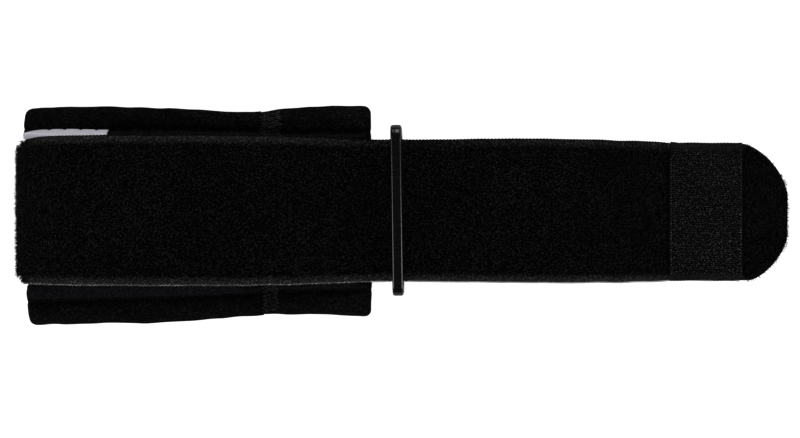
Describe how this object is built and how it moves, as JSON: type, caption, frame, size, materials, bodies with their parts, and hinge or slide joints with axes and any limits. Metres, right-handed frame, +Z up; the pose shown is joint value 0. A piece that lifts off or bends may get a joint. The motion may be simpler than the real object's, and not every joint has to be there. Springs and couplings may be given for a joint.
{
  "type": "tennis elbow strap",
  "caption": "Tennis elbow strap lying flat: loop-pile tape folded over a sewn, padded panel and led through a rectangular ring to a rounded tip with a hook tab.",
  "frame": {"origin": "middle of the part's box, on the surface it lies on", "axes": "+X along the strap from the pad's far end to the tip, +Y across it, +Z up from the surface it lies on"},
  "size_m": [0.2744, 0.0778, 0.0254],
  "materials": {
    "loop_pile": "matte loop pile",
    "hook_tape": "woven hook tape",
    "ring_plastic": "glossy",
    "pad_fabric": "matte knit over foam",
    "lining_fabric": "smooth knit",
    "label_fabric": "satin"
  },
  "bodies": {
    "root": {"strap": "loop_pile", "hook_tab": "hook_tape", "ring": "ring_plastic", "pad": "pad_fabric", "pad_end": "pad_fabric", "lining": "lining_fabric", "lining_end": "lining_fabric", "label": "label_fabric"}
  },
  "joints": []
}
